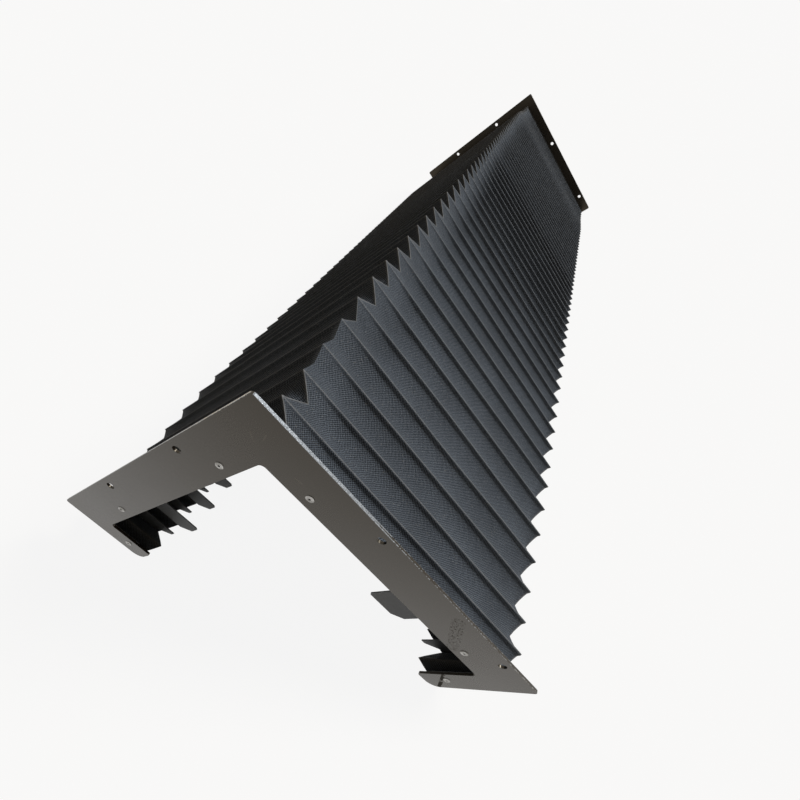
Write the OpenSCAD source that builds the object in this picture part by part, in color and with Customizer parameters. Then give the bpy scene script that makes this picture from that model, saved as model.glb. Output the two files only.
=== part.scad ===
// Bellows way cover: two angle-shaped end plates, a pleated fabric cover between them,
// and flat support frames inside the folds. It stands like a roof on its two return ends.
// Plate coordinates: u runs from the ridge corner down the left leg, v down the right leg.

/* [End plates] */
// Outer length of each leg
leg_length = 300; // [270:1:360]
// Width of each leg
leg_width = 40; // [38:0.5:48]
// Width of the returns at the leg ends
return_width = 22; // [20:0.5:28]
// Outer length of the left leg's return
return_left = 84; // [76:1:110]
// Outer length of the right leg's return
return_right = 100; // [76:1:110]
// Sheet thickness of the plates
plate_t = 2; // [1.5:0.1:4]
// Rounding of the plates' outer corners
plate_corner_r = 3; // [1:0.5:6]
// Rounding of the plates' inner corners
plate_inner_r = 4; // [1:0.5:8]
// Rounding of the return ends that the cover stands on
foot_r = 10; // [6:0.5:14]

/* [Mounting holes] */
// Diameter of the holes in the flange
hole_d = 6.6; // [4.5:0.1:9]
// Distance of the holes from the plate's outer edge
hole_edge = 8; // [6:0.5:10]
// First hole of the left leg, from the ridge corner
left_hole_1 = 96; // [40:1:150]
// Second hole of the left leg, from the ridge corner
left_hole_2 = 210; // [170:1:260]
// First hole of the right leg, from the ridge corner
right_hole_1 = 119; // [40:1:150]
// Second hole of the right leg, from the ridge corner
right_hole_2 = 262; // [170:1:265]

/* [Rivets] */
// Diameter of the rivet shanks
rivet_d = 3.2; // [2.4:0.1:4]
// Diameter of the rivet heads
rivet_head_d = 6; // [5:0.1:7]
// Height of the rivet heads
rivet_head_h = 0.9; // [0.5:0.1:1.2]
// Diameter of the set end of a rivet
rivet_tail_d = 4.2; // [4.1:0.1:4.4]
// Height of the set end of a rivet
rivet_tail_h = 0.8; // [0.4:0.1:1]
// Diameter of the hole left in a rivet's middle
rivet_eye_d = 1.8; // [1:0.1:2]
// Clearance between a rivet's shank and its hole, on the diameter
rivet_clearance = 0.2; // [0.1:0.05:0.3]
// Distance of the leg rivets from the plate's outer edge
rivet_leg_inset = 30; // [29:0.5:33]
// Distance of the return rivets from the plate's outer edge
rivet_return_inset = 13; // [12.5:0.5:15]
// First rivet of each leg, from the ridge corner
rivet_first = 74; // [50:1:120]
// Second rivet of the left leg, from the ridge corner
rivet_second_left = 233; // [180:1:250]
// Second rivet of the right leg, from the ridge corner
rivet_second_right = 245; // [180:1:250]
// Rivet of the left return, from the ridge corner's edge
rivet_return_left = 64; // [50:1:66]
// Rivet of the right return, from the ridge corner's edge
rivet_return_right = 75; // [50:1:80]

/* [Fabric cover] */
// Length of the fabric between the plates, drawn out
fabric_length = 1146; // [1000:1:1300]
// Number of folds
fold_count = 57; // [40:1:60]
// Width of one fabric panel, from an outer fold to an inner one
panel_width = 17.6; // [17:0.1:20]
// Thickness of the coated fabric
fabric_t = 0.7; // [0.4:0.05:0.8]
// Relative fold spacing at the near end
spacing_near = 28.5; // [20:0.5:30]
// Relative fold spacing at the far end
spacing_far = 15; // [13:0.5:24]
// Number of wide folds at the near end
wide_fold_count = 9; // [0:1:20]
// Number of folds over which the spacing then closes up
closing_fold_count = 24; // [10:1:30]
// Share by which the first fold is pulled in at the near plate
first_fold_share = 0.14; // [0:0.02:0.4]
// Share by which the first inner fold of the long walls is drawn flat
first_flat_share = 0.7; // [0:0.05:0.8]
// Number of folds over which those shares fade out
first_fold_count = 5; // [2:1:8]
// Height of the stiff edge that an outer fold of the long walls shows when it is drawn out
fin_height = 3.8; // [2.5:0.1:5]
// Half width of that edge at its foot
fin_run = 1.6; // [1.5:0.1:2.5]
// Number of folds, from the near plate, that show that edge
fin_fold_count = 40; // [0:1:42]
// Width of the bare flange outside the fabric at the plates
flange_plate = 17; // [15:0.5:18]
// Distance of the outer folds from the plates' outline along the cover
flange_body = 8; // [5:0.5:15]
// Distance from a plate where the fabric starts to swell out of the flange
swell_from = 40; // [0:5:80]
// Distance from a plate where the fabric has swelled out
swell_to = 200; // [100:5:250]
// Distance of the outer folds from the plates' outline at the returns, at the plates
return_plate = 2; // [1:0.5:4]
// Distance of the outer folds from the plates' outline at the returns, along the cover
return_body = 9; // [2:0.5:10]
// Length of the ridge corner's tuck, along the right wall
ridge_tuck = 17; // [12:0.5:19]
// Length of the tucks at the corners of the returns, along the wall that starts there
return_tuck = 11; // [8:0.5:16]
// Depth of a corner tuck's tip
tuck_depth = 3.5; // [1:0.5:4]
// Run from a corner tuck's tip to the full fold depth
tuck_run = 30; // [20:1:34]
// Share of the fold depth that is reached half way along that run
tuck_middle_share = 0.6; // [0.5:0.05:0.8]
// Run over which a wall's inner folds bend towards its end corner
corner_run = 14; // [8:1:18]
// Distance by which the outer folds stop short of the return ends
free_short = 8; // [6:0.5:12]
// Distance by which the inner folds reach past the outer ones at the free edges
free_step = 11; // [4:0.5:14]

/* [Clamp frames] */
// Thickness of the clamp frames behind the plates
clamp_t = 1; // [0.6:0.1:1.2]
// Distance of the clamp frames from the inner edges of the plates
clamp_edge = 1; // [0.5:0.5:2]
// Distance of the clamp frames from the ends of the returns
clamp_end = 14; // [12:1:16]

/* [Support frames] */
// Thickness of the support frames
frame_t = 1; // [0.6:0.1:1.2]
// Clearance between a support frame and the fabric of its fold
frame_clearance = 0.3; // [0.2:0.05:0.6]
// Number of first folds that each hold a support frame
frames_at_start = 3; // [1:1:4]
// Every how many folds a support frame follows after those
frame_every = 3; // [3:1:8]
// Distance of the frames' inner edges from the plates' outline at the legs
frame_leg_edge = 42; // [40:0.5:50]
// Distance of the frames' inner edges from the plates' outline at the returns
frame_return_edge = 24; // [22:0.5:30]
// Reach of the frames past the plates' returns
frame_reach = 4; // [0:0.5:6]
// Size of the clip at the outer corner of a frame's return
frame_clip = 15; // [13:0.5:16]
// Left guide finger's side nearer the ridge corner
finger_left = 233; // [150:1:236]
// Width of the left guide finger
finger_left_w = 20; // [10:0.5:24]
// Right guide finger's side nearer the ridge corner
finger_right = 204; // [150:1:210]
// Width of the right guide finger
finger_right_w = 39; // [10:0.5:42]
// Reach of the guide fingers past the plates' returns
finger_reach = 7.5; // [2:0.5:12]
// Size of the clip at a guide finger's corner nearer the ridge corner
finger_clip = 2; // [1:0.5:4]
// Size of the clip at a guide finger's other corner
finger_slant = 9; // [2:0.5:9.5]
// Rounding where a guide finger leaves its frame
finger_root_r = 8; // [2:0.5:12]

/* [Hidden] */
$fn = 64;

// Lean of the plates: both return ends rest on one level line
stand_angle = atan2(leg_length - return_left, leg_length - return_right);
plate_turn = 180 + stand_angle;
ridge_z = foot_r + sin(stand_angle) * (leg_length - foot_r) + cos(stand_angle) * (return_left - foot_r);
ridge_x = (cos(stand_angle) - sin(stand_angle)) * leg_length / 2;
near_y = -fabric_length / 2;
far_y = fabric_length / 2;

function ease(from, to, x) = let (t = max(0, min(1, (x - from) / (to - from)))) t * t * (3 - 2 * t);
function total(list, i = 0) = i < len(list) ? list[i] + total(list, i + 1) : 0;
function unit(v) = v / norm(v);
function mixed(a, b, t) = a + (b - a) * t;

// Folds: spacing and places of the outer folds
function first_share(k) = 1 - ease(0, first_fold_count, k);
closed_from = wide_fold_count + closing_fold_count;
raw_spacing = [for (k = [1:fold_count])
    mixed(spacing_near, spacing_far, ease(wide_fold_count, closed_from, k))
    * (1 - first_fold_share * first_share(k))];
spacing = raw_spacing * fabric_length / total(raw_spacing);
ridge_at = [
    for (k = 0, y = 0; k <= fold_count; y = y + (k < fold_count ? spacing[k] : 0), k = k + 1) y];
function fold_half(k) = spacing[k] / 2;
function ridge_half(k) = min(spacing[max(k - 1, 0)], spacing[min(k, fold_count - 1)]) / 2;

// Depth of a fold whose panels of a given width span the run from an outer to an inner fold
least_rise = 0.2;
function rise(width, run) = sqrt(max(width * width - run * run, pow(least_rise * width, 2)));
fin_width = norm([fin_run, fin_height]);
function sag_run(k) = fold_half(k) - fin_run;
function sag_rise(k) =
    rise(panel_width - fin_width, sag_run(k)) * (1 - first_flat_share * first_share(k + 1));
function long_depth(k) = fin_height + sag_rise(k);
function return_depth(k) = rise(panel_width, fold_half(k));

// Inward offset of the fabric's inside along a panel that spans a run and a drop
function skin(run, drop) = fabric_t * norm([run, drop]) / run;
function flat_skin(half) = skin(half, rise(panel_width, half));
fin_skin = skin(fin_run, fin_height);
// Offset of the inside at the foot of fold k's stiff edge: towards the edge, and inwards
function foot_skin(k) = let (
    n1 = [fin_height, fin_run] / fin_width,
    n2 = unit([sag_rise(k), sag_run(k)]))
    fabric_t * (n1 + n2) / (1 + n1 * n2);

// Depth inside the outer fold k at which a flat piece of half thickness x clears the fabric
function return_seat(k, x) = let (half = ridge_half(k), depth = rise(panel_width, half))
    flat_skin(half) + (x * depth + frame_clearance * norm([half, depth])) / half;
function fin_seat(k, x) = let (
    foot = [fin_run - foot_skin(k).x, fin_height + foot_skin(k).y],
    clear = x + frame_clearance * fin_width / fin_height)
    fin_skin + clear * (foot.y - fin_skin) / foot.x;
function leg_seat(k, x) = max(fin_seat(min(k, fold_count - 1), x), return_seat(k, x));
// The same at the returns, whose corners take a share of the stiff edge's shape
function end_seat(k, x) = mixed(return_seat(k, x), leg_seat(k, x), return_corner_fin);

// Outer folds' distance from the plates' outline, by the distance to the nearer plate
function swelled(y) = ease(swell_from, swell_to, min(y, fabric_length - y));
function flange_at(y) = mixed(flange_plate, flange_body, swelled(y));
function return_at(y) = mixed(return_plate, return_body, swelled(y));

// The four fabric walls, from the left free edge round to the right one:
// start point, direction, inward direction and length
free_left = return_left - free_short;
free_right = return_right - free_short;
function walls(y) = let (f = flange_at(y), end = leg_length - return_at(y)) [
    [[end, free_left], [0, -1], [-1, 0], free_left - f],
    [[end, f], [-1, 0], [0, 1], end - f],
    [[f, f], [0, 1], [1, 0], end - f],
    [[f, end], [1, 0], [0, -1], free_right - f]];
function on_wall(wall, s, d) = wall[0] + wall[1] * s + wall[2] * d;
tucks = [0, return_tuck, ridge_tuck, return_tuck];
half_run = tuck_run / 2;

function ridge_line(w) = [
    on_wall(w[0], 0, 0),
    on_wall(w[0], w[0][3] - corner_run, 0),
    for (i = [1:3]) each [
        on_wall(w[i], 0, 0),
        on_wall(w[i], tucks[i] + half_run, 0),
        on_wall(w[i], tucks[i] + tuck_run, 0),
        on_wall(w[i], i < 3 ? w[i][3] - corner_run : w[i][3], 0)]];

function valley_line(w, k) = let (at_return = return_depth(k), at_leg = long_depth(k)) [
    on_wall(w[0], -free_step, at_return),
    on_wall(w[0], w[0][3] - corner_run, at_return),
    for (i = [1:3]) let (d = i < 3 ? at_leg : at_return) each [
        on_wall(w[i], tucks[i], tuck_depth),
        on_wall(w[i], tucks[i] + half_run, mixed(tuck_depth, d, tuck_middle_share)),
        on_wall(w[i], tucks[i] + tuck_run, d),
        on_wall(w[i], i < 3 ? w[i][3] - corner_run : w[i][3] + free_step, d)]];

// How far each column of the fabric takes the stiff edge's shape: fully on the long walls,
// in part at the corners, and not at the returns, whose panels stay flat
ridge_corner_fin = 0.1;
return_corner_fin = 0.4;
function fin_columns(corner, wall) = [corner, mixed(corner, wall, 0.5), wall, wall];
column_fin = concat(
    [0, 0],
    fin_columns(return_corner_fin, 1),
    fin_columns(ridge_corner_fin, 1),
    fin_columns(return_corner_fin, 0));

// Rings of the fabric: a fold's number and 0 for its outer fold, 1 and 3 for the feet
// of the stiff edges on both sides of its valley, 2 for its inner fold
rings = [
    for (k = [0:fold_count - 1])
        each k < fin_fold_count ? [[k, 0], [k, 1], [k, 2], [k, 3]] : [[k, 0], [k, 2]],
    [fold_count, 0]];
function ring_y(ring) = let (k = ring[0])
    ring[1] == 0 ? ridge_at[k]
    : ring[1] == 1 ? ridge_at[k] + fin_run
    : ring[1] == 2 ? ridge_at[k] + fold_half(k)
    : ridge_at[k + 1] - fin_run;

function foot_line(k, ridge, valley) = [for (j = [0:len(ridge) - 1])
    let (share = mixed(fin_run / fold_half(k), fin_height / long_depth(k), column_fin[j]))
        mixed(ridge[j], valley[j], share)];
function ring_line(ring) = let (w = walls(ring_y(ring)), k = ring[0])
    ring[1] == 0 ? ridge_line(w)
    : ring[1] == 2 ? valley_line(w, k)
    : foot_line(k, ridge_line(w), valley_line(w, k));

// The inside's offset from the outside in column j of a ring: along the cover, and inwards
function ring_skin(ring, j) = let (k = ring[0], fin = k < fin_fold_count ? column_fin[j] : 0)
    ring[1] == 0 ? [0, mixed(flat_skin(ridge_half(k)), fin_skin, fin)]
    : ring[1] == 2 ? [0, mixed(flat_skin(fold_half(k)), skin(sag_run(k), sag_rise(k)), fin)]
    : let (foot = foot_skin(k), way = ring[1] == 1 ? -1 : 1)
        [fin * way * foot.x, mixed(flat_skin(fold_half(k)), foot.y, fin)];

// A line moved inwards, each point by its own amount, with the sharpest mitres held back
mitre_least = 0.3;
function moved_in(line, amounts) = [for (i = [0:len(line) - 1]) let (
    before = unit(i > 0 ? line[i] - line[i - 1] : line[1] - line[0]),
    after = i < len(line) - 1 ? unit(line[i + 1] - line[i]) : before,
    n1 = [before.y, -before.x],
    n2 = [after.y, -after.x])
    line[i] + amounts[i] * (n1 + n2) / max(mitre_least, 1 + n1 * n2)];

// Plate coordinates and a distance from the near plate, as a point in space
function in_space(p, y) = [
    ridge_x - cos(stand_angle) * p.x + sin(stand_angle) * p.y,
    near_y + y,
    ridge_z - sin(stand_angle) * p.x - cos(stand_angle) * p.y];

// Places of the holes, rivets and support frames
mount_holes = [
    [left_hole_1, hole_edge], [left_hole_2, hole_edge],
    [hole_edge, right_hole_1], [hole_edge, right_hole_2]];
rivets = [
    [rivet_first, rivet_leg_inset], [rivet_second_left, rivet_leg_inset],
    [rivet_leg_inset, rivet_first], [rivet_leg_inset, rivet_second_right],
    [leg_length - rivet_return_inset, rivet_return_left],
    [rivet_return_right, leg_length - rivet_return_inset]];
frame_folds = [
    for (k = [1:frames_at_start]) k,
    for (k = [frames_at_start + frame_every:frame_every:fold_count - 1]) k];

// An outline in plate coordinates, as a flat sheet whose near face is at y
module sheet(y, thickness) {
    translate([ridge_x, near_y + y + thickness, ridge_z])
        rotate([90, 0, 0])
            linear_extrude(thickness)
                rotate(plate_turn)
                    children();
}

// What a rounded outer corner loses: p is the corner, into points into the sheet
module corner_waste(p, into, r) {
    spare = 1;
    translate(p)
        difference() {
            translate([into.x > 0 ? -spare : -r, into.y > 0 ? -spare : -r]) square(r + spare);
            translate(into * r) circle(r);
        }
}

// What a rounded inner corner gains: p is the corner, out points out of the sheet
module corner_fill(p, out, r) {
    translate(p)
        difference() {
            translate([out.x > 0 ? 0 : -r, out.y > 0 ? 0 : -r]) square(r);
            translate(out * r) circle(r);
        }
}

// An angle with a return at each leg end: _out and _in are distances from the plates' outline
module angle_outline(leg_out, leg_in, end_out, end_in, left_end, right_end) {
    far_side = leg_length - end_out;
    translate([leg_out, leg_out]) square([far_side - leg_out, leg_in - leg_out]);
    translate([leg_out, leg_out]) square([leg_in - leg_out, far_side - leg_out]);
    translate([leg_length - end_in, leg_out]) square([end_in - end_out, left_end - leg_out]);
    translate([leg_out, leg_length - end_in]) square([right_end - leg_out, end_in - end_out]);
}

module plate_outline() {
    difference() {
        union() {
            angle_outline(0, leg_width, 0, return_width, return_left, return_right);
            corner_fill([leg_width, leg_width], [1, 1], plate_inner_r);
            corner_fill([leg_length - return_width, leg_width], [-1, 1], plate_inner_r);
            corner_fill([leg_width, leg_length - return_width], [1, -1], plate_inner_r);
        }
        corner_waste([0, 0], [1, 1], plate_corner_r);
        corner_waste([leg_length, 0], [-1, 1], plate_corner_r);
        corner_waste([0, leg_length], [1, -1], plate_corner_r);
        corner_waste([leg_length, return_left], [-1, -1], foot_r);
        corner_waste([return_right, leg_length], [-1, -1], foot_r);
        corner_waste([leg_length - return_width, return_left], [1, -1], plate_corner_r);
        corner_waste([return_right, leg_length - return_width], [-1, 1], plate_corner_r);
    }
}

module rivet_holes() {
    for (p = rivets) translate(p) circle(d = rivet_d + rivet_clearance);
}

module end_plate(y) {
    color([0.32, 0.31, 0.29])
        sheet(y, plate_t)
            difference() {
                plate_outline();
                for (p = mount_holes) translate(p) circle(d = hole_d);
                rivet_holes();
            }
}

// k is the outer fold that the clamp frame lies in
module clamp_frame(y, k) {
    color([0.25, 0.26, 0.27])
        sheet(y, clamp_t)
            difference() {
                angle_outline(
                    flange_plate + leg_seat(k, clamp_t), leg_width - clamp_edge,
                    return_plate + end_seat(k, clamp_t), return_width - clamp_edge,
                    return_left - clamp_end, return_right - clamp_end);
                rivet_holes();
            }
}

// Rivets through a plate and its clamp frame: face is the plate's outer face, way points inwards
module rivet_row(face, way) {
    grip = plate_t + clamp_t;
    eye_top = 2 * rivet_head_h;
    color([0.75, 0.75, 0.74])
        for (p = rivets)
            translate(in_space(p, face))
                rotate([way > 0 ? -90 : 90, 0, 0])
                    difference() {
                        union() {
                            translate([0, 0, -rivet_head_h])
                                cylinder(h = rivet_head_h, d = rivet_head_d);
                            cylinder(h = grip, d = rivet_d);
                            translate([0, 0, grip])
                                cylinder(h = rivet_tail_h, d = rivet_tail_d);
                        }
                        translate([0, 0, -eye_top])
                            cylinder(h = eye_top + grip, d = rivet_eye_d);
                    }
}

// The pleated fabric: rings of points joined by flat panels of the fabric's thickness
module bellows() {
    outer = [for (ring = rings) ring_line(ring)];
    n = len(column_fin);
    skins = [for (ring = rings) [for (j = [0:n - 1]) ring_skin(ring, j)]];
    inner = [for (i = [0:len(rings) - 1]) moved_in(outer[i], [for (offset = skins[i]) offset.y])];
    all = len(rings) * n;
    last = len(rings) - 1;
    points = [
        for (i = [0:last], j = [0:n - 1]) in_space(outer[i][j], ring_y(rings[i])),
        for (i = [0:last], j = [0:n - 1]) in_space(inner[i][j], ring_y(rings[i]) + skins[i][j].x)];
    panels = [
        for (i = [0:last - 1], j = [0:n - 2]) let (a = i * n + j, b = a + n)
            each rings[i][1] < 2
                ? [[a, a + 1, b + 1], [a, b + 1, b]]
                : [[a, a + 1, b], [a + 1, b + 1, b]]];
    linings = [for (p = panels) [p[2] + all, p[1] + all, p[0] + all]];
    ends = [
        for (j = [0:n - 2]) each [
            [j + 1, j, j + all], [j + 1, j + all, j + 1 + all]],
        for (j = [0:n - 2]) let (a = last * n + j) each [
            [a, a + 1, a + all], [a + 1, a + 1 + all, a + all]]];
    edges = [
        for (i = [0:last - 1]) let (a = i * n, b = a + n) each [
            [a, b, b + all], [a, b + all, a + all]],
        for (i = [0:last - 1]) let (a = i * n + n - 1, b = a + n) each [
            [b, a, b + all], [a, a + all, b + all]]];
    color([0.1, 0.1, 0.11])
        polyhedron(points, concat(panels, linings, ends, edges));
}

// A flat frame inside the outer fold k, with a guide finger under each leg
module support_frame(k) {
    leg_out = flange_at(ridge_at[k]) + leg_seat(k, frame_t / 2);
    end_out = return_at(ridge_at[k]) + end_seat(k, frame_t / 2);
    left_end = return_left + frame_reach;
    right_end = return_right + frame_reach;
    left_tip = return_left + finger_reach;
    right_tip = return_right + finger_reach;
    finger_root = (leg_out + frame_leg_edge) / 2;
    left_far = finger_left + finger_left_w;
    right_far = finger_right + finger_right_w;
    side = leg_length - end_out;
    color([0.36, 0.38, 0.38])
        sheet(ridge_at[k] - frame_t / 2, frame_t)
            difference() {
                union() {
                    angle_outline(
                        leg_out, frame_leg_edge, end_out, frame_return_edge, left_end, right_end);
                    translate([finger_left, finger_root])
                        square([finger_left_w, left_tip - finger_root]);
                    translate([finger_root, finger_right])
                        square([right_tip - finger_root, finger_right_w]);
                    corner_fill([left_far, frame_leg_edge], [1, 1], finger_root_r);
                    corner_fill([frame_leg_edge, right_far], [1, 1], finger_root_r);
                }
                clip([side, left_end], [-1, -1], frame_clip);
                clip([right_end, side], [-1, -1], frame_clip);
                clip([finger_left, left_tip], [1, -1], finger_clip);
                clip([left_far, left_tip], [-1, -1], finger_slant);
                clip([right_tip, finger_right], [-1, 1], finger_clip);
                clip([right_tip, right_far], [-1, -1], finger_slant);
            }
}

// A triangle that clips a sheet's corner p: into points into the sheet
module clip(p, into, size) {
    spare = 1;
    polygon([
        p + [into.x * size, -into.y * spare],
        p - into * spare,
        p + [-into.x * spare, into.y * size],
        p + [0, into.y * size],
        p + [into.x * size, 0]]);
}

module near_end_plate() { end_plate(-plate_t); }
module near_clamp_frame() { clamp_frame(0, 0); }
module near_rivets() { rivet_row(-plate_t, 1); }
module far_end_plate() { end_plate(fabric_length); }
module far_clamp_frame() { clamp_frame(fabric_length - clamp_t, fold_count); }
module far_rivets() { rivet_row(fabric_length + plate_t, -1); }

near_end_plate();
near_clamp_frame();
near_rivets();
far_end_plate();
far_clamp_frame();
far_rivets();
bellows();
for (i = [1:len(frame_folds)])
    support_frame(frame_folds[i - 1]);
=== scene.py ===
import math
import random

import bmesh
import bpy
from mathutils import Euler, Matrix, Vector


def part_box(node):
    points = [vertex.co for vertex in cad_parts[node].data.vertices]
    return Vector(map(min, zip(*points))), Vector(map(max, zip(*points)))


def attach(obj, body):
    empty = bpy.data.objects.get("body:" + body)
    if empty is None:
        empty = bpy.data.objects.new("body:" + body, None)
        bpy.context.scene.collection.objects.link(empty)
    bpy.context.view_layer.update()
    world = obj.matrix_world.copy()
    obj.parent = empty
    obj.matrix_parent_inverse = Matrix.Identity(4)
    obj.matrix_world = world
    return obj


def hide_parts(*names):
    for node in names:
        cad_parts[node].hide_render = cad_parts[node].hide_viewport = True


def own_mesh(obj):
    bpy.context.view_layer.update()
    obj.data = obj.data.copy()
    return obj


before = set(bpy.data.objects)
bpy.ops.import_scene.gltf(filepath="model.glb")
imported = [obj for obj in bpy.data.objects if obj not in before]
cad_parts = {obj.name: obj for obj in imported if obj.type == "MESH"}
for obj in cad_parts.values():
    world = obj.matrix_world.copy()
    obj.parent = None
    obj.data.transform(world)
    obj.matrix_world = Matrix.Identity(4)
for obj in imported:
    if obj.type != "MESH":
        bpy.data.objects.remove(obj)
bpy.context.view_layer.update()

MM = 0.001
random.seed(57)

# Plates: leg and return lengths set the lean, as both return ends stand on the floor
LEG = 300 * MM
RETURN_LEFT = 84 * MM
RETURN_RIGHT = 100 * MM
FOOT_RADIUS = 10 * MM
LEAN = math.atan2(LEG - RETURN_LEFT, LEG - RETURN_RIGHT)
DOWN_LEFT = Vector((-math.cos(LEAN), 0, -math.sin(LEAN)))
DOWN_RIGHT = Vector((math.sin(LEAN), 0, -math.cos(LEAN)))
RIDGE_X = (math.cos(LEAN) - math.sin(LEAN)) * LEG / 2
FOOT_TO_RIDGE = math.sin(LEAN) * (LEG - FOOT_RADIUS) + math.cos(LEAN) * (RETURN_LEFT - FOOT_RADIUS)
RIDGE_CORNER = Vector((RIDGE_X, 0, FOOT_RADIUS + FOOT_TO_RIDGE))
NEAR_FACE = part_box("near_end_plate")[0].y
NEAR_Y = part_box("near_end_plate")[1].y
FAR_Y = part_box("far_end_plate")[0].y
FAR_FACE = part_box("far_end_plate")[1].y

# Folds along the cover: raw spacings, which are then fitted to the fabric's length
FABRIC_LENGTH = FAR_Y - NEAR_Y
FOLDS = 57
SPACING_NEAR = 28.5
SPACING_FAR = 15
WIDE_FOLDS = 9
CLOSING_FOLDS = 24
FIRST_SHARE = 0.14
FIRST_FOLDS = 5
FIRST_SLACK = 0.7
FRAME_FOLDS = {1, 2, 3} | set(range(6, FOLDS, 3))

# One fold: its cloth, its fin along the crest and its panels down to the valley
CLOTH = 0.7 * MM
CLOTH_SMOOTH = 50
CREST = 1.1 * MM
FIN = 3.8 * MM
FIN_RUN = 1.6 * MM
FIN_FOOT = 0.86
FIN_GIVE = 0.15
LEG_PANEL = 13.5 * MM
LEG_PANEL_REACH = 0.97
RETURN_PANEL = 17.6 * MM
FINE_FOLDS = 26
FINE_TURNS = (40, 80)
PLAIN_TURNS = (60,)
FINE_SHARES = (0.05, 0.3, 0.65, 1.0)
PLAIN_SHARES = (0.35, 1.0)

# Room that the fabric leaves to the plates' outline, by the plates and away from them
FLANGE_PLATE = 17 * MM
FLANGE_BODY = 8 * MM
RETURN_PLATE = 2 * MM
RETURN_BODY = 9 * MM
SWELL_FROM = 40 * MM
SWELL_TO = 200 * MM

# Walls in order: left return, left leg, right leg, right return
RIDGE_TUCK = 17 * MM
RETURN_TUCK = 11 * MM
TUCKS = (0, RETURN_TUCK, RIDGE_TUCK, RETURN_TUCK)
RIDGE_WALL = 2
SOFT_TUCKS = {2: 0.25, 3: 0.3, 4: 0.65}
TUCK_DEPTH = 3.5 * MM
TUCK_RUN = 30 * MM
TUCK_PLACES = (0, 0.035, 0.14, 0.3, 0.46, 0.64, 0.82)
CORNER_RUN = 14 * MM
CORNER_PLACES = (0, 0.25, 0.5, 0.75, 0.92)
WALL_STEPS = (4, 9, 9, 4)
WALL_FLAT = (1, 0, 0, 1)
CORNER_FLAT = (1, 0.75, 0.9, 0.6)

# Free edges of the two returns: how far the folds stop short, and how far their valleys stand off
FREE_SHORT_LEFT = 4.2 * MM
FREE_STEP_LEFT = 9 * MM
FREE_SHORT_RIGHT = 4.2 * MM
FREE_STEP_RIGHT = 11 * MM
FREE_RISE_RIGHT = 4 * MM
FREE_RISE_FROM = 0.2

# Light lines on the tucks' corners and inside the returns, part rubbed wear and part painted highlight
CREASE_RUN = 2.2 * MM
# Creases get a stronger line, a painted highlight where the lamp lights them less
CREASE_RUB_AND_HIGHLIGHT = 1.35
INSIDE_RUB_AND_HIGHLIGHT = 0.8
INSIDE_FROM = 0.85

# Unevenness of the outer folds
WAVE_HELD = 0.25 * MM
WAVE_FREE = 0.9 * MM
WAVE_SHARES = (0.4, 1.0)
WAVE_RATES = (14, 30)


def ease(start, end, x):
    """0 before start, 1 after end and a smooth rise between them."""
    t = max(0.0, min(1.0, (x - start) / (end - start)))
    return t * t * (3 - 2 * t)


def mixed(a, b, t):
    return a + (b - a) * t


def in_space(u, v, y):
    """A point from its distances down the left leg, down the right leg and along the cover."""
    place = RIDGE_CORNER + DOWN_LEFT * u + DOWN_RIGHT * v
    return Vector((place.x, y, place.z))


def only(piece):
    """Select one object alone and make it active."""
    bpy.ops.object.select_all(action="DESELECT")
    piece.select_set(True)
    bpy.context.view_layer.objects.active = piece


# Fold places

def fold_spacing():
    """Distance from each ridge to the next: wide near the front, and closer from the middle on."""
    raw = []
    for k in range(1, FOLDS + 1):
        closed = ease(WIDE_FOLDS, WIDE_FOLDS + CLOSING_FOLDS, k)
        held = 1 - FIRST_SHARE * (1 - ease(0, FIRST_FOLDS, k))
        raw.append(mixed(SPACING_NEAR, SPACING_FAR, closed) * held)
    return [FABRIC_LENGTH * r / sum(raw) for r in raw]


SPACING = fold_spacing()
RIDGES = [sum(SPACING[:k]) for k in range(FOLDS + 1)]


def away_from_plates(y):
    return ease(SWELL_FROM, SWELL_TO, min(y, FABRIC_LENGTH - y))


def flange_at(y):
    return mixed(FLANGE_PLATE, FLANGE_BODY, away_from_plates(y))


def return_at(y):
    return mixed(RETURN_PLATE, RETURN_BODY, away_from_plates(y))


def leg_depth_of(k):
    half = SPACING[k] / 2
    slack = 1 - FIRST_SLACK * (1 - ease(0, FIRST_FOLDS, k + 1))
    panel_run = min(half - FIN_RUN, LEG_PANEL_REACH * LEG_PANEL)
    return FIN + math.sqrt(LEG_PANEL ** 2 - panel_run ** 2) * slack


def return_depth_of(k):
    return math.sqrt(RETURN_PANEL ** 2 - (SPACING[k] / 2) ** 2)


# Fabric cross-section: matching points of an outer fold and of the inner fold beside it

def wall_list(flange, inset):
    """(start, way along, way in, length) of each wall, in distances down the left and right legs."""
    end = LEG - inset
    left = RETURN_LEFT - FREE_SHORT_LEFT
    right = RETURN_RIGHT - FREE_SHORT_RIGHT
    return [
        (Vector((end, left)), Vector((0, -1)), Vector((-1, 0)), left - flange),
        (Vector((end, flange)), Vector((-1, 0)), Vector((0, 1)), end - flange),
        (Vector((flange, flange)), Vector((0, 1)), Vector((1, 0)), end - flange),
        (Vector((flange, end)), Vector((1, 0)), Vector((0, -1)), right - flange)]


def on_wall(wall, along, depth):
    return wall[0] + wall[1] * along + wall[2] * depth


def crease_at(distance):
    """How much of a tuck's corner line, part rubbed wear and part painted highlight, shows at a distance from
    it.
    """
    return max(0.0, 1 - distance / CREASE_RUN)


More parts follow.
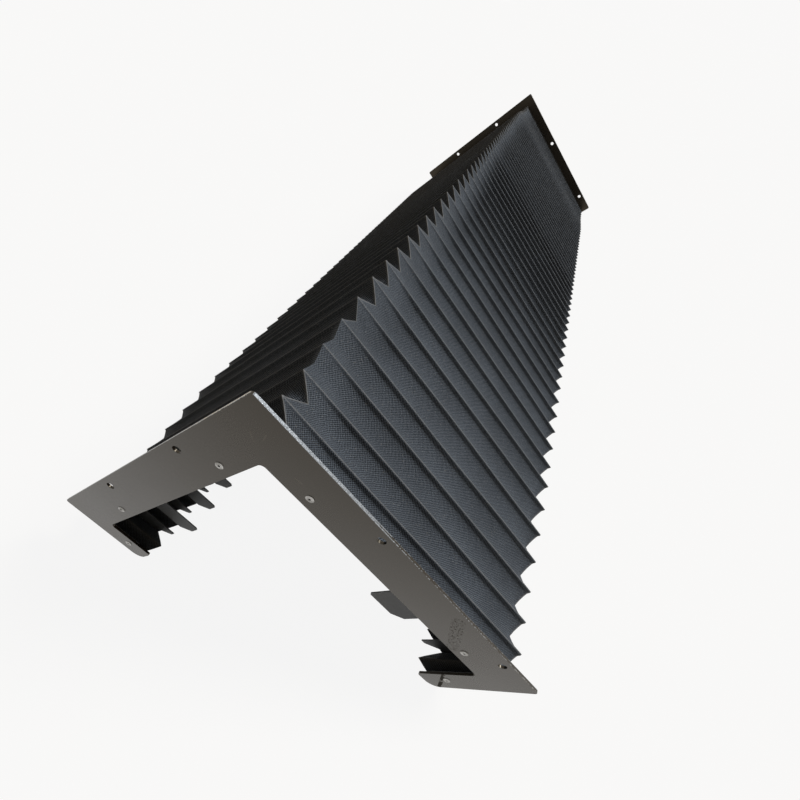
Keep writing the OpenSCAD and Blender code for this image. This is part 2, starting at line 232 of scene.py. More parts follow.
def section_columns(flange, inset, leg_depth, return_depth, ridge_share):
    """(outer point, inner point, flatness of the panel, tuck crease, wall) for each column of the fabric."""
    walls = wall_list(flange, inset)
    depths = (return_depth, leg_depth, leg_depth, return_depth)
    shares = [ridge_share if i == RIDGE_WALL else 1.0 for i in range(len(walls))]
    tucks = [tuck * share for tuck, share in zip(TUCKS, shares)]
    columns = []
    for i, wall in enumerate(walls):
        start = 0.0
        if i > 0:
            start = TUCKS[i] + TUCK_RUN
            for t in TUCK_PLACES:
                inner_depth = mixed(TUCK_DEPTH, depths[i], ease(0, 1, t))
                columns.append((
                    on_wall(wall, start * t, 0),
                    on_wall(wall, mixed(tucks[i], start, t), inner_depth),
                    mixed(CORNER_FLAT[i], WALL_FLAT[i], t),
                    crease_at(start * t) * shares[i],
                    i))
        last = i == len(walls) - 1
        end = wall[3] if last else wall[3] - CORNER_RUN
        for n in range(WALL_STEPS[i] + (1 if last else 0)):
            t = n / WALL_STEPS[i]
            along = mixed(start, end, t)
            reach = 0.0
            rise = 0.0
            if i == 0:
                reach = -FREE_STEP_LEFT * (1 - t)
            if last:
                reach = FREE_STEP_RIGHT * t
                rise = FREE_RISE_RIGHT * ease(FREE_RISE_FROM, 1, t)
            columns.append((
                on_wall(wall, along, 0),
                on_wall(wall, along + reach, depths[i] + rise),
                WALL_FLAT[i],
                0.0,
                i))
        if not last:
            tip = on_wall(walls[i + 1], tucks[i + 1], TUCK_DEPTH)
            inner_end = on_wall(wall, end, depths[i])
            for t in CORNER_PLACES:
                columns.append((
                    on_wall(wall, end + CORNER_RUN * t, 0),
                    inner_end.lerp(tip, t),
                    mixed(WALL_FLAT[i], CORNER_FLAT[i + 1], t),
                    crease_at(CORNER_RUN * (1 - t)) * shares[i + 1],
                    i))
    return columns


def profile(half, depth, fine):
    """(distance from the ridge, share of the depth) from the crest of a fold down to its valley."""
    fin = FIN * depth / (depth + FIN_GIVE * FIN)
    steps = [(0.0, 0.0)]
    for turn in FINE_TURNS if fine else PLAIN_TURNS:
        a = math.radians(turn)
        steps.append((CREST * math.sin(a), CREST * (1 - math.cos(a)) / depth))
    steps.append((FIN_RUN, fin * FIN_FOOT / depth))
    for x in FINE_SHARES if fine else PLAIN_SHARES:
        drop = 1 - (1 - x) ** 2
        steps.append((mixed(FIN_RUN, half, x), mixed(fin / depth, 1.0, drop)))
    return steps


def fold_waves():
    """Small unevenness of each outer fold: how far it wanders along the cover, and where."""
    waves = []
    for k in range(FOLDS + 1):
        size = WAVE_HELD if k in FRAME_FOLDS else WAVE_FREE
        if k in (0, FOLDS):
            size = 0.0
        share = random.uniform(*WAVE_SHARES)
        phase = random.uniform(0, 2 * math.pi)
        rate = random.uniform(*WAVE_RATES)
        waves.append((size * share, phase, rate))
    return waves


def fabric_rows():
    """Each row's place along the cover and in its fold, with that fold's sizes, from near to far."""
    rows = []
    for k in range(FOLDS):
        half = SPACING[k] / 2
        sizes = (leg_depth_of(k), return_depth_of(k), SOFT_TUCKS.get(k, 1.0))
        steps = profile(half, sizes[0], k < FINE_FOLDS)
        for d, share in steps:
            rows.append((RIDGES[k] + d, d, d / half, share, k, sizes))
        for d, share in reversed(steps[1:-1]):
            rows.append((RIDGES[k + 1] - d, d, d / half, share, k + 1, sizes))
    rows.append((FABRIC_LENGTH, 0.0, 0.0, 0.0, FOLDS, sizes))
    return rows


def fabric_points(rows):
    """Each point in space and in the cross-section, how much rubbed wear and painted highlight it carries,
    and the wall of each column.
    """
    waves = fold_waves()
    points = []
    spots = []
    rub_and_highlight_values = []
    for y, d, x, share, ridge, sizes in rows:
        columns = section_columns(flange_at(y), return_at(y), *sizes)
        size, phase, rate = waves[ridge]
        for outer, inner, flat, crease, wall in columns:
            spot = outer.lerp(inner, mixed(share, x, flat))
            sway = size * (1 - x) * math.sin(phase + rate * (outer.x - outer.y))
            points.append(in_space(spot.x, spot.y, NEAR_Y + y + sway))
            spots.append(spot)
            inside = INSIDE_RUB_AND_HIGHLIGHT * WALL_FLAT[wall] * ease(INSIDE_FROM, 1, x)
            # Light line on each crest, each tuck crease and inside the returns: part rubbed wear, part
            # painted highlight, stronger on the creases where the lamp lights them less
            rub_and_highlight_values.append(max(1 - d / CREST, CREASE_RUB_AND_HIGHLIGHT * crease, inside, 0.0))
    return points, spots, rub_and_highlight_values, [column[-1] for column in columns]


def running_lengths(line):
    """Distance of each point of a line from its first point, along the line."""
    lengths = [0.0]
    for a, b in zip(line, line[1:]):
        lengths.append(lengths[-1] + (b - a).length)
    return lengths


def lay_weave(mesh, spots, wall_of, across):
    """The weave's map: the threads of each wall run along it and down its folds."""
    ways = [wall[1] for wall in wall_list(0, 0)]
    count = len(wall_of)
    uv = mesh.uv_layers.new(name="cloth")
    for face in mesh.polygons:
        wall = wall_of[face.index % (count - 1)]
        for corner in face.loop_indices:
            n = mesh.loops[corner].vertex_index
            uv.data[corner].uv = (spots[n].dot(ways[wall]), across[wall][n // count])


def make_fabric():
    """The pleated cover: one sheet of cloth, with its weave's map and its light lines of rubbed wear and
    painted highlight.
    """
    rows = fabric_rows()
    points, spots, rub_and_highlight_values, wall_of = fabric_points(rows)
    count = len(wall_of)
    faces = []
    for r in range(len(rows) - 1):
        for c in range(count - 1):
            a = r * count + c
            faces.append((a, a + 1, a + count + 1, a + count))
    mesh = bpy.data.meshes.new("pleated_cover")
    mesh.from_pydata(points, [], faces)
    middles = [wall_of.index(i) + wall_of.count(i) // 2 for i in range(len(TUCKS))]
    across = [running_lengths(points[c::count]) for c in middles]
    lay_weave(mesh, spots, wall_of, across)
    crest = mesh.attributes.new("crest", "FLOAT", "POINT")
    crest.data.foreach_set("value", rub_and_highlight_values)
    mesh.update()
    piece = bpy.data.objects.new("pleated_cover", mesh)
    bpy.context.scene.collection.objects.link(piece)
    only(piece)
    thickness = piece.modifiers.new("wall", "SOLIDIFY")
    thickness.thickness = CLOTH
    thickness.offset = -1
    bpy.ops.object.modifier_apply(modifier=thickness.name)
    bpy.ops.object.shade_smooth_by_angle(angle=math.radians(CLOTH_SMOOTH))
    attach(piece, "near_end")
    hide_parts("bellows")
    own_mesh(piece)
    return piece


fabric = make_fabric()


# Rivets: places as distances down the left leg and down the right leg, and the head's rings as (rise, radius)

RIVETS = [
    (74 * MM, 30 * MM), (233 * MM, 30 * MM),
    (30 * MM, 74 * MM), (30 * MM, 245 * MM),
    (287 * MM, 64 * MM), (75 * MM, 287 * MM)]
RIVET_SIDES = 28
RIVET_SMOOTH = 35
RIVET_HEAD = 3 * MM
RIVET_RIM = 0.35 * MM
RIVET_RINGS = (
    (0.22 * MM, 2.7 * MM), (0.05 * MM, 2.2 * MM), (-0.22 * MM, 1.95 * MM),
    (0.02 * MM, 1.5 * MM), (0.28 * MM, 1.3 * MM))
RIVET_EYE = 0.9 * MM
RIVET_EYE_DROP = 0.1 * MM
RIVET_EYE_TAPER = 0.9
RIVET_SHANK = 1.6 * MM
RIVET_GRIP = 3 * MM
RIVET_TAIL = 2.1 * MM
RIVET_TAIL_FLARE = 0.05 * MM
RIVET_TAIL_SIDE = 0.55 * MM
RIVET_TAIL_CAP = 0.2 * MM
RIVET_TAIL_TAPER = 0.8
SAME_WAY = 0.9


def pick_face(piece, place, normal):
    """In edit mode, select the one face that lies nearest to a place and looks along a normal."""
    shape = bmesh.from_edit_mesh(piece.data)
    for part in list(shape.verts) + list(shape.edges) + list(shape.faces):
        part.select = False
    facing = [f for f in shape.faces if f.normal.dot(normal) > SAME_WAY]
    nearest = min(facing, key=lambda f: (f.calc_center_median() - place).length)
    nearest.select = True
    shape.select_flush(True)
    bmesh.update_edit_mesh(piece.data)


def push(axis, distance, radius_share, centre):
    """Extrude the selected face along the rivet and set its new radius as a share of the old one."""
    bpy.ops.mesh.extrude_region_move(TRANSFORM_OT_translate={"value": axis * distance})
    bpy.ops.transform.resize(value=(radius_share, 1, radius_share), center_override=centre)


def model_rivet(centre, out):
    """A blind rivet with a domed ring head, its shank and its set end, at a point of the plate's face."""
    bpy.ops.object.select_all(action="DESELECT")
    bpy.ops.mesh.primitive_cylinder_add(
        vertices=RIVET_SIDES, radius=RIVET_HEAD, depth=RIVET_RIM,
        location=centre + out * (RIVET_RIM / 2), rotation=(math.radians(90), 0, 0))
    rivet = bpy.context.object
    bpy.ops.object.transform_apply(location=True, rotation=True, scale=True)
    bpy.ops.object.mode_set(mode="EDIT")
    pick_face(rivet, centre + out * RIVET_RIM, out)
    radius = RIVET_HEAD
    for rise, new_radius in RIVET_RINGS:
        push(out, rise, new_radius / radius, centre)
        radius = new_radius
    push(out, -RIVET_EYE_DROP, RIVET_EYE / radius, centre)
    push(out, -RIVET_GRIP, RIVET_EYE_TAPER, centre)
    pick_face(rivet, centre, -out)
    bpy.ops.mesh.inset(thickness=RIVET_HEAD - RIVET_SHANK)
    push(-out, RIVET_GRIP, 1, centre)
    push(-out, RIVET_TAIL_FLARE, RIVET_TAIL / RIVET_SHANK, centre)
    push(-out, RIVET_TAIL_SIDE, 1, centre)
    push(-out, RIVET_TAIL_CAP, RIVET_TAIL_TAPER, centre)
    bpy.ops.object.mode_set(mode="OBJECT")
    return rivet


def rivet_set(name, node, body, face, out):
    """The six rivets of one plate: one is modelled, the others are copies of it."""
    places = [in_space(u, v, face) for u, v in RIVETS]
    first = model_rivet(places[0], out)
    row = [first]
    for place in places[1:]:
        only(first)
        bpy.ops.object.duplicate(linked=False)
        bpy.ops.transform.translate(value=place - places[0])
        bpy.ops.object.transform_apply(location=True, rotation=True, scale=True)
        row.append(bpy.context.object)
    only(first)
    for rivet in row:
        rivet.select_set(True)
    bpy.ops.object.join()
    first.name = name
    first.data.name = name
    bpy.ops.object.transform_apply(location=True, rotation=True, scale=True)
    bpy.ops.object.shade_smooth_by_angle(angle=math.radians(RIVET_SMOOTH))
    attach(first, body)
    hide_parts(node)
    return first


near_rivets = rivet_set("near_rivet_heads", "near_rivets", "near_end", NEAR_FACE, Vector((0, -1, 0)))
far_rivets = rivet_set("far_rivet_heads", "far_rivets", "far_end", FAR_FACE, Vector((0, 1, 0)))


# Shader nodes: a noise lies mostly between its usual lowest and highest value

NOISE_LOW = 0.3
NOISE_HIGH = 0.7
METAL_LOW = 0.35
METAL_HIGH = 0.65
FLOAT = "NodeSocketFloat"
VECTOR = "NodeSocketVector"


def connect(tree, value, socket):
    """Link another node's output to a socket, or set a plain value on it."""
    if isinstance(value, bpy.types.NodeSocket):
        tree.links.new(value, socket)
    else:
        socket.default_value = value


def add(tree, kind, inputs=None, **settings):
    """A node with its settings, whose inputs are values or other nodes' outputs."""
    made = tree.nodes.new(kind)
    for name, value in settings.items():
        setattr(made, name, value)
    for name, value in (inputs or {}).items():
        connect(tree, value, made.inputs[name])
    return made


def sums(tree, operation, a, b=0.0, clamp=False):
    return add(tree, "ShaderNodeMath", {0: a, 1: b}, operation=operation, use_clamp=clamp).outputs[0]


def vectors(tree, operation, a, b):
    """A vector from two vectors, or from a vector and the number that scales it."""
    second = 3 if operation == "SCALE" else 1
    return add(tree, "ShaderNodeVectorMath", {0: a, second: b}, operation=operation).outputs["Vector"]


def measure(tree, operation, a, b):
    """A number from two vectors."""
    return add(tree, "ShaderNodeVectorMath", {0: a, 1: b}, operation=operation).outputs["Value"]


def step(tree, value, low, high, to_low=0.0, to_high=1.0):
    """A value read smoothly from one range into another."""
    ranges = {"Value": value, "From Min": low, "From Max": high, "To Min": to_low, "To Max": to_high}
    return add(tree, "ShaderNodeMapRange", ranges, interpolation_type="SMOOTHSTEP").outputs["Result"]


def spread(tree, noise_value, to_low=0.0, to_high=1.0):
    """A noise read into a range, from its usual lowest value to its usual highest."""
    return step(tree, noise_value, NOISE_LOW, NOISE_HIGH, to_low, to_high)


def noise(tree, vector, size, detail=2.0, roughness=0.5):
    inputs = {"Vector": vector, "Scale": 1 / size, "Detail": detail, "Roughness": roughness}
    return add(tree, "ShaderNodeTexNoise", inputs).outputs["Fac"]


def blend(tree, share, a, b):
    """A colour between two others."""
    made = add(tree, "ShaderNodeMix", data_type="RGBA")
    for name, value in (("Factor_Float", share), ("A_Color", a), ("B_Color", b)):
        connect(tree, value, next(s for s in made.inputs if s.identifier == name))
    return next(s for s in made.outputs if s.identifier == "Result_Color")


def bumped(tree, height, strength, distance):
    inputs = {"Height": height, "Strength": strength, "Distance": distance}
    return add(tree, "ShaderNodeBump", inputs).outputs[0]


def new_group(name, inputs, outputs):
    group = bpy.data.node_groups.new(name, "ShaderNodeTree")
    for socket, kind in inputs:
        group.interface.new_socket(socket, in_out="INPUT", socket_type=kind)
    for socket in outputs:
        group.interface.new_socket(socket, in_out="OUTPUT", socket_type=FLOAT)
    return group, group.nodes.new("NodeGroupInput").outputs, group.nodes.new("NodeGroupOutput").inputs


def place_group(tree, group, inputs):
    return add(tree, "ShaderNodeGroup", inputs, node_tree=group).outputs


# Effects that several finishes share

SPECK_LOW = 0.74
SPECK_HIGH = 0.79
WEAR_GRAIN = 1.6 * MM
WEAR_LEAST = 0.84
WEAR_RANGE = 0.62
WEAR_EDGE = 0.05
WEAR_FADE = 0.4


def make_drift_group():
    """Slow change of tone, fine grain and scattered specks of a surface that has been handled."""
    group, given, result = new_group(
        "handled_surface", [("Vector", VECTOR), ("Patch", FLOAT), ("Grain", FLOAT), ("Specks", FLOAT)],
        ["Tone", "Grain", "Specks"])

    def scaled(name, detail):
        scale = sums(group, "DIVIDE", 1.0, given[name])
        inputs = {"Vector": given["Vector"], "Scale": scale, "Detail": detail}
        return add(group, "ShaderNodeTexNoise", inputs).outputs["Fac"]

    connect(group, scaled("Patch", 3.0), result["Tone"])
    connect(group, scaled("Grain", 1.0), result["Grain"])
    connect(group, step(group, scaled("Specks", 0.0), SPECK_LOW, SPECK_HIGH), result["Specks"])
    return group


def make_wear_group():
    """Where a coat is rubbed off an edge: by the distance from it, and more broken up where less is worn."""
    group, given, result = new_group(
        "rubbed_edge", [("Vector", VECTOR), ("Distance", FLOAT), ("Reach", FLOAT), ("Amount", FLOAT)],
        ["Bare"])
    broken = noise(group, given["Vector"], WEAR_GRAIN, 2.0, 0.6)
    limit = sums(group, "SUBTRACT", WEAR_LEAST, sums(group, "MULTIPLY", given["Amount"], WEAR_RANGE))
    edge_marks = step(group, sums(group, "SUBTRACT", broken, limit), -WEAR_EDGE, WEAR_EDGE)
    near = sums(group, "SUBTRACT", 1.0, sums(group, "DIVIDE", given["Distance"], given["Reach"]))
    close = step(group, near, 0.0, WEAR_FADE)
    connect(group, sums(group, "MULTIPLY", edge_marks, close), result["Bare"])
    return group


def make_leg_group():
    """A point's distances down the left leg and down the right leg from the ridge corner."""
    group, given, result = new_group("leg_places", [("Vector", VECTOR)], ["Left", "Right"])
    from_corner = vectors(group, "SUBTRACT", given["Vector"], RIDGE_CORNER)
    for name, way in (("Left", DOWN_LEFT), ("Right", DOWN_RIGHT)):
        connect(group, measure(group, "DOT_PRODUCT", from_corner, way), result[name])
    return group


handled_surface = make_drift_group()
rubbed_edge = make_wear_group()
leg_places = make_leg_group()


def new_finish(name, specular=0.5):
    material = bpy.data.materials.new(name)
    material.use_nodes = True
    tree = material.node_tree
    shader = tree.nodes["Principled BSDF"].inputs
    shader["Specular IOR Level"].default_value = specular
    place = tree.nodes.new("ShaderNodeTexCoord").outputs["Object"]
    return material, tree, shader, place


def handled(tree, place, patch, grain, specks):
    """The handled surface's effect, with the sizes of its patches, grain and specks."""
    sizes = {"Vector": place, "Patch": patch, "Grain": grain, "Specks": specks}
    return place_group(tree, handled_surface, sizes)


# Cloth finish

CLOTH_SPECULAR = 0.12
CLOTH_SHEEN = 0.06
CLOTH_TONE = (0.85, 1.15)
CLOTH_SHADE = (0.8, 1.2)
CLOTH_ROUGHNESS = (0.72, 0.84)
CLOTH_RELIEF = (0.5, 0.2 * MM)
WEAVE = 1.8 * MM
THREAD_EDGE = 0.4
THREAD_WANDER = 2.4 * MM
THREAD_SHIFT = 0.9 * MM
THREAD_LOW = (0.013, 0.015, 0.018, 1)
THREAD_HIGH = (0.106, 0.120, 0.141, 1)
# Colour of the fold lines: part rubbed wear, part painted highlight
CLOTH_RUB_AND_HIGHLIGHT = (0.20, 0.20, 0.20, 1)
CLOTH_RUB_AND_HIGHLIGHT_POWER = 2.4
CLOTH_RUB_AND_HIGHLIGHT_BREAKS = (0.25, 0.6, 0.45, 1.0)
CLOTH_DUST = (0.24, 0.23, 0.21, 1)
CLOTH_DUST_SHARE = 0.35
CLOTH_GRAIN_HEIGHT = 0.4


def make_cloth_finish():
    """Black coated cloth: a plain weave, a light line on each fold that is part rubbed wear and part painted
    highlight, and a little dust.
    """
    material, tree, shader, place = new_finish("coated_cloth", CLOTH_SPECULAR)
    shader["Sheen Weight"].default_value = CLOTH_SHEEN
    uv = add(tree, "ShaderNodeUVMap", uv_map="cloth").outputs[0]
    wander = add(tree, "ShaderNodeTexNoise", {"Vector": uv, "Scale": 1 / THREAD_WANDER, "Detail": 1.0})
    centred = vectors(tree, "SUBTRACT", wander.outputs["Color"], (0.5, 0.5, 0.5))
    uneven = vectors(tree, "ADD", uv, vectors(tree, "SCALE", centred, THREAD_SHIFT))
    threads = add(tree, "ShaderNodeSeparateXYZ", {0: uneven}).outputs

    def wave(way):
        return sums(tree, "SINE", sums(tree, "MULTIPLY", threads[way], 2 * math.pi / WEAVE))

    over = step(tree, sums(tree, "MULTIPLY", wave("X"), wave("Y")), -THREAD_EDGE, THREAD_EDGE)
    surface = handled(tree, place, patch=60 * MM, grain=0.9 * MM, specks=1.1 * MM)
    tone = sums(tree, "MULTIPLY", spread(tree, surface["Tone"], *CLOTH_TONE),
                spread(tree, surface["Grain"], *CLOTH_SHADE))
    toned = vectors(tree, "SCALE", blend(tree, over, THREAD_LOW, THREAD_HIGH), tone)
    crest = add(tree, "ShaderNodeAttribute", attribute_name="crest").outputs["Fac"]
    # Fold lines lightened from the crest attribute: part rubbed wear, part painted highlight
    rub_and_highlight = sums(tree, "MULTIPLY", sums(tree, "POWER", crest, CLOTH_RUB_AND_HIGHLIGHT_POWER),
               step(tree, surface["Grain"], *CLOTH_RUB_AND_HIGHLIGHT_BREAKS))
    edge_marks = blend(tree, rub_and_highlight, toned, CLOTH_RUB_AND_HIGHLIGHT)
    dust = sums(tree, "MULTIPLY", surface["Specks"], CLOTH_DUST_SHARE)
    height = sums(tree, "ADD", over, sums(tree, "MULTIPLY", surface["Grain"], CLOTH_GRAIN_HEIGHT))
    connect(tree, blend(tree, dust, edge_marks, CLOTH_DUST), shader["Base Color"])
    connect(tree, spread(tree, surface["Tone"], *CLOTH_ROUGHNESS), shader["Roughness"])
    connect(tree, bumped(tree, height, *CLOTH_RELIEF), shader["Normal"])
    return material


# Plate finish: an edge's wear is (reach, start and end of its fade, amount before and after the fade)

PAINT = (0.011, 0.008, 0.005)
PAINT_GLOSS = (1.0, 0.86, 0.66, 1)
PAINT_SPECULAR = 0.53
PAINT_TONE = (0.85, 1.15)
PAINT_ROUGHNESS = (0.20, 0.26)
PAINT_GRAIN = 0.08
PAINT_RELIEF = (0.12, 0.05 * MM)
METAL_DULL = (0.14, 0.15, 0.16, 1)
METAL_BRIGHT = (0.40, 0.42, 0.44, 1)
WEAR_RIGHT = (0.5 * MM, 75 * MM, 140 * MM, 1.0, 0.5)
WEAR_LEFT = (0.4 * MM, 10 * MM, 120 * MM, 0.6, 0.3)
NICK_SHARE = 0.06
MARK_DEPTH = 0.2 * MM
LIGHT_MARK = (0.16, 0.15, 0.13, 1)
LIGHT_MARK_SHARE = 0.5
LIGHT_SCRATCHES = [
    ((25 * MM, 19 * MM), (29 * MM, 25 * MM)), ((22 * MM, 27 * MM), (17 * MM, 25 * MM)),
    ((26 * MM, 57 * MM), (25 * MM, 62 * MM))]
LIGHT_SCRATCH_WIDTH = 0.5 * MM
DARK_MARK = (0.004, 0.004, 0.004, 1)
DARK_MARK_ROUGHNESS = 0.95
DARK_SCRATCH = ((72 * MM, 278 * MM), (93 * MM, 301 * MM))
DARK_SCRATCH_WIDTH = 2.2 * MM
DARK_SCRATCH_BREAKS = 5 * MM
DARK_SCRATCH_EDGE = (0.36, 0.46)
SMEAR = ((36 * MM, 238 * MM), (9 * MM, 206 * MM))
SMEAR_WIDTH = 7 * MM
SMEAR_DOTS = 1.2 * MM
SMEAR_EDGE = (0.5, 0.6)
SMEAR_SHARE = 0.65


def make_plate_finish():
    """Dark satin paint on sheet steel, rubbed bare along the two outer edges and scratched a little."""
    material, tree, shader, place = new_finish("plate_paint", PAINT_SPECULAR)
    shader["Specular Tint"].default_value = PAINT_GLOSS
    legs = place_group(tree, leg_places, {"Vector": place})
    surface = handled(tree, place, patch=90 * MM, grain=0.5 * MM, specks=3.5 * MM)
    along_cover = add(tree, "ShaderNodeSeparateXYZ", {0: place}).outputs["Y"]
    depth = sums(tree, "ABSOLUTE", along_cover)
    to_outside = sums(tree, "SUBTRACT", FAR_FACE, depth)
    to_inside = sums(tree, "SUBTRACT", depth, FAR_Y)
    to_corner = sums(tree, "MINIMUM", to_outside, to_inside)

    def bare_edge(across, along, wear):
        """Bare metal on an edge: all over it at one end, and only along its corners at the other."""
        reach, start, end, first, last = wear
        amount = step(tree, along, start, end, first, last)
        spread_out = step(tree, along, start, end)
        distance = sums(tree, "ADD", across, sums(tree, "MULTIPLY", to_corner, spread_out))
        inputs = {"Vector": place, "Distance": distance, "Reach": reach, "Amount": amount}
        return place_group(tree, rubbed_edge, inputs)["Bare"]

    bare_right = bare_edge(legs["Left"], legs["Right"], WEAR_RIGHT)
    bare_left = bare_edge(legs["Right"], legs["Left"], WEAR_LEFT)
    nicks = sums(tree, "MULTIPLY", surface["Specks"], NICK_SHARE)
    bare = sums(tree, "MAXIMUM", sums(tree, "MAXIMUM", bare_right, bare_left), nicks)
    near_face = step(tree, along_cover, NEAR_FACE + 2 * MARK_DEPTH, NEAR_FACE + MARK_DEPTH)
    spot = add(tree, "ShaderNodeCombineXYZ", {0: legs["Left"], 1: legs["Right"]}).outputs[0]

    def scratch(start, end, width):
        """1 along a line between two points of the near plate's face, in leg distances."""
        run = Vector((*end, 0)) - Vector((*start, 0))
        from_start = vectors(tree, "SUBTRACT", spot, (*start, 0))
        along = measure(tree, "DOT_PRODUCT", from_start, run / run.length_squared)
        share = sums(tree, "MULTIPLY", along, 1.0, clamp=True)
        off = measure(tree, "DISTANCE", from_start, vectors(tree, "SCALE", run, share))
        return sums(tree, "MULTIPLY", step(tree, off, width, 0.5 * width), near_face)

    light_mark = scratch(*LIGHT_SCRATCHES[0], LIGHT_SCRATCH_WIDTH)
    for start, end in LIGHT_SCRATCHES[1:]:
        light_mark = sums(tree, "MAXIMUM", light_mark, scratch(start, end, LIGHT_SCRATCH_WIDTH))
    dots = step(tree, noise(tree, place, SMEAR_DOTS), *SMEAR_EDGE, 0.0, SMEAR_SHARE)
    smear = sums(tree, "MULTIPLY", scratch(*SMEAR, SMEAR_WIDTH), dots)
    broken = step(tree, noise(tree, place, DARK_SCRATCH_BREAKS), *DARK_SCRATCH_EDGE)
    gouge = sums(tree, "MULTIPLY", scratch(*DARK_SCRATCH, DARK_SCRATCH_WIDTH), broken)
    dark_mark = sums(tree, "MAXIMUM", gouge, smear)
    paint = vectors(tree, "SCALE", PAINT, spread(tree, surface["Tone"], *PAINT_TONE))
    scratched = blend(tree, sums(tree, "MULTIPLY", light_mark, LIGHT_MARK_SHARE), paint, LIGHT_MARK)
    marked = blend(tree, dark_mark, scratched, DARK_MARK)
    metal = blend(tree, step(tree, surface["Grain"], METAL_LOW, METAL_HIGH), METAL_DULL, METAL_BRIGHT)
    satin = sums(tree, "ADD", spread(tree, surface["Tone"], *PAINT_ROUGHNESS),
                 sums(tree, "MULTIPLY", surface["Grain"], PAINT_GRAIN))
    dulled = sums(tree, "MAXIMUM", satin, sums(tree, "MULTIPLY", dark_mark, DARK_MARK_ROUGHNESS))
    connect(tree, blend(tree, bare, marked, metal), shader["Base Color"])
    connect(tree, bare, shader["Metallic"])
    connect(tree, dulled, shader["Roughness"])
    connect(tree, bumped(tree, surface["Grain"], *PAINT_RELIEF), shader["Normal"])
    return material


# Frame finish

FRAME_DARK = (0.055, 0.058, 0.060, 1)
FRAME_LIGHT = (0.085, 0.088, 0.090, 1)
FRAME_DUST = (0.25, 0.25, 0.24, 1)
FRAME_DUST_SHARE = 0.3
FRAME_TONE_SHARE = 0.6
FRAME_SPECULAR = 0.4
FRAME_ROUGHNESS = (0.45, 0.6)
FRAME_RELIEF = (0.2, 0.06 * MM)


def make_frame_finish():
    """Dark grey moulded plastic with a fine grain."""
    material, tree, shader, place = new_finish("frame_plastic", FRAME_SPECULAR)
    surface = handled(tree, place, patch=40 * MM, grain=0.6 * MM, specks=1.5 * MM)
    tone = sums(tree, "ADD", sums(tree, "MULTIPLY", surface["Tone"], FRAME_TONE_SHARE),
                sums(tree, "MULTIPLY", surface["Grain"], 1 - FRAME_TONE_SHARE))
    colour = blend(tree, spread(tree, tone), FRAME_DARK, FRAME_LIGHT)
    dust = sums(tree, "MULTIPLY", surface["Specks"], FRAME_DUST_SHARE)
    connect(tree, blend(tree, dust, colour, FRAME_DUST), shader["Base Color"])
    connect(tree, spread(tree, surface["Grain"], *FRAME_ROUGHNESS), shader["Roughness"])
    connect(tree, bumped(tree, surface["Grain"], *FRAME_RELIEF), shader["Normal"])
    return material


# Rivet finish

RIVET_DULL = (0.26, 0.25, 0.23, 1)
RIVET_BRIGHT = (0.46, 0.45, 0.43, 1)
RIVET_STAIN = (0.14, 0.13, 0.11, 1)
RIVET_STAIN_SHARE = 0.6
RIVET_ROUGHNESS = (0.28, 0.48)
RIVET_RELIEF = (0.3, 0.05 * MM)


def make_rivet_finish():
    """Dull rivet metal, with brighter patches and a few stains."""
    material, tree, shader, place = new_finish("rivet_metal")
    shader["Metallic"].default_value = 1.0
    surface = handled(tree, place, patch=4 * MM, grain=0.35 * MM, specks=0.8 * MM)
    colour = blend(tree, step(tree, surface["Tone"], METAL_LOW, METAL_HIGH), RIVET_DULL, RIVET_BRIGHT)
    stain = sums(tree, "MULTIPLY", surface["Specks"], RIVET_STAIN_SHARE)
    connect(tree, blend(tree, stain, colour, RIVET_STAIN), shader["Base Color"])
    connect(tree, spread(tree, surface["Grain"], *RIVET_ROUGHNESS), shader["Roughness"])
    connect(tree, bumped(tree, surface["Grain"], *RIVET_RELIEF), shader["Normal"])
    return material


# Finishes and rounded edges on the pieces

PLATE_EDGE = 0.25 * MM
FRAME_EDGE = 0.12 * MM
EDGE_SEGMENTS = 2
EDGE_ANGLE = 40
FLAT_ANGLE = 1
FLAT_WEIGHT = 100
WELD_GAP = 0.001 * MM


def dress(piece, material):
    piece.data.materials.clear()
    piece.data.materials.append(material)


def round_edges(piece, width):
    """Merge a sheet's triangles, clear its flat faces and round its edges, all as live modifiers."""
    weld = piece.modifiers.new("joined", "WELD")
    weld.merge_threshold = WELD_GAP
    flat = piece.modifiers.new("flats", "DECIMATE")
    flat.decimate_type = "DISSOLVE"
    flat.angle_limit = math.radians(FLAT_ANGLE)
    edge = piece.modifiers.new("edge", "BEVEL")
    edge.width = width
    edge.segments = EDGE_SEGMENTS
    edge.limit_method = "ANGLE"
    edge.angle_limit = math.radians(EDGE_ANGLE)
    edge.harden_normals = False
    shading = piece.modifiers.new("shading", "WEIGHTED_NORMAL")
    shading.mode = "FACE_AREA"
    shading.weight = FLAT_WEIGHT


dress(fabric, make_cloth_finish())
rivet_finish = make_rivet_finish()
dress(near_rivets, rivet_finish)
dress(far_rivets, rivet_finish)
plate_finish = make_plate_finish()
frame_finish = make_frame_finish()
for name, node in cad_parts.items():
    if name.endswith("end_plate"):
        dress(node, plate_finish)
        round_edges(node, PLATE_EDGE)
    elif name.endswith("clamp_frame") or name.startswith("support_frame"):
        dress(node, frame_finish)
        round_edges(node, FRAME_EDGE)


# Floor, light and camera

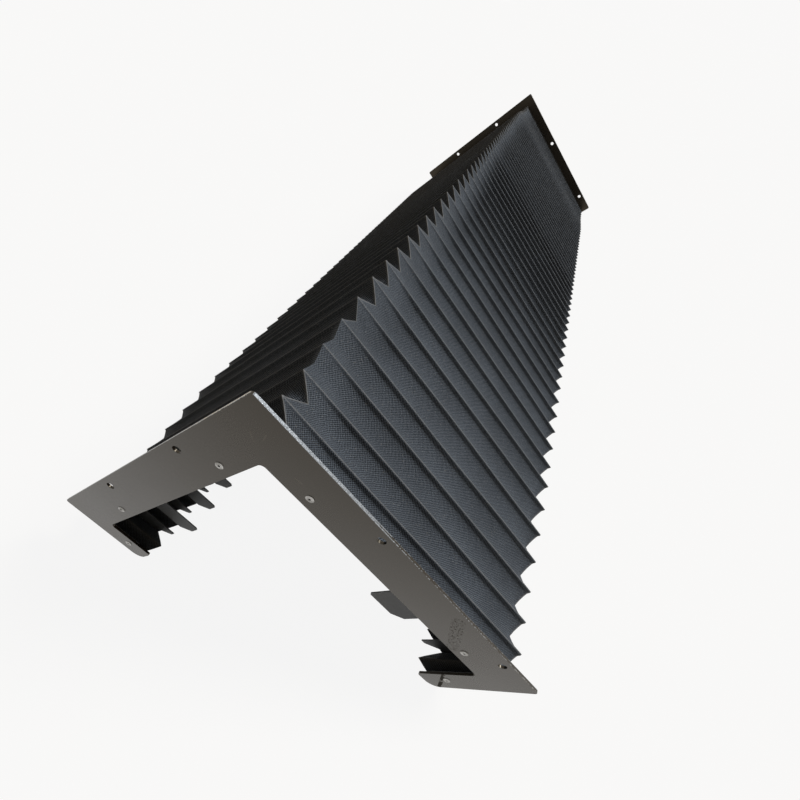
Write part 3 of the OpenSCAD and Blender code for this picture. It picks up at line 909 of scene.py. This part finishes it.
FLOOR_SIZE = 60
FLOOR_PALE = (0.62, 0.56, 0.47, 1)
FLOOR_WHITE = 0.90
BACKGROUND = (0.943, 0.939, 0.934, 1)
FILL = (1.0, 0.78, 0.50, 1)
FILL_STRENGTH = 0.08
WINDOW_WAY = Vector((0.64, 0.30, 0.70))
WINDOW_DISTANCE = 3
WINDOW_STRENGTH = 2.9
WINDOW_SPREAD = 20
WINDOW_COLOUR = (0.95, 0.98, 1.0)
CAMERA_PLACE = (98.2 * MM, -721.91 * MM, 438.43 * MM)
CAMERA_TURN = (47.0326, -8.2618, 19.2806)
CAMERA_LENS = 20.867
CAMERA_SENSOR = 36
CAMERA_NEAREST = 0.01


def seen_directly(tree):
    """1 for what is seen straight, in a shiny surface or through glass, and 0 for light that bounces."""
    path = tree.nodes.new("ShaderNodeLightPath").outputs
    shiny = sums(tree, "MAXIMUM", path["Is Camera Ray"], path["Is Glossy Ray"])
    return sums(tree, "MAXIMUM", shiny, path["Is Transmission Ray"])


def make_floor():
    """A pale floor that shows white to the camera and keeps a share of the object's shadow."""
    bpy.ops.object.select_all(action="DESELECT")
    bpy.ops.mesh.primitive_plane_add(size=FLOOR_SIZE, location=(0, 0, 0))
    floor = bpy.context.object
    floor.name = "floor"
    material = bpy.data.materials.new("floor_paint")
    material.use_nodes = True
    tree = material.node_tree
    tree.nodes.clear()
    pale = add(tree, "ShaderNodeBsdfDiffuse", {"Color": FLOOR_PALE}).outputs[0]
    white = add(tree, "ShaderNodeEmission", {"Color": (1, 1, 1, 1), "Strength": 1.0}).outputs[0]
    share = sums(tree, "MULTIPLY", seen_directly(tree), FLOOR_WHITE)
    both = add(tree, "ShaderNodeMixShader", {0: share, 1: pale, 2: white}).outputs[0]
    add(tree, "ShaderNodeOutputMaterial", {"Surface": both})
    dress(floor, material)


def make_world():
    """Dim warm fill light, with a white background."""
    world = bpy.data.worlds.new("studio")
    bpy.context.scene.world = world
    world.use_nodes = True
    tree = world.node_tree
    tree.nodes.clear()
    fill = add(tree, "ShaderNodeBackground", {"Color": FILL, "Strength": FILL_STRENGTH}).outputs[0]
    white = add(tree, "ShaderNodeBackground", {"Color": BACKGROUND, "Strength": 1.0}).outputs[0]
    both = add(tree, "ShaderNodeMixShader", {0: seen_directly(tree), 1: fill, 2: white}).outputs[0]
    add(tree, "ShaderNodeOutputWorld", {"Surface": both})


def make_window_light():
    """A wide even light from far away, at the right of the cover."""
    data = bpy.data.lights.new("window_right", "SUN")
    data.energy = WINDOW_STRENGTH
    data.angle = math.radians(WINDOW_SPREAD)
    data.color = WINDOW_COLOUR
    lamp = bpy.data.objects.new("window_right", data)
    bpy.context.scene.collection.objects.link(lamp)
    lamp.location = WINDOW_WAY * WINDOW_DISTANCE
    lamp.rotation_euler = (-WINDOW_WAY).to_track_quat("-Z", "Y").to_euler()


def make_camera():
    data = bpy.data.cameras.new("camera")
    data.lens = CAMERA_LENS
    data.sensor_width = CAMERA_SENSOR
    data.clip_start = CAMERA_NEAREST
    camera = bpy.data.objects.new("camera", data)
    bpy.context.scene.collection.objects.link(camera)
    camera.location = CAMERA_PLACE
    camera.rotation_euler = Euler([math.radians(a) for a in CAMERA_TURN], "XYZ")
    bpy.context.scene.camera = camera


make_floor()
make_world()
make_window_light()
make_camera()
bpy.context.scene.view_settings.view_transform = "Standard"

bpy.context.view_layer.update()
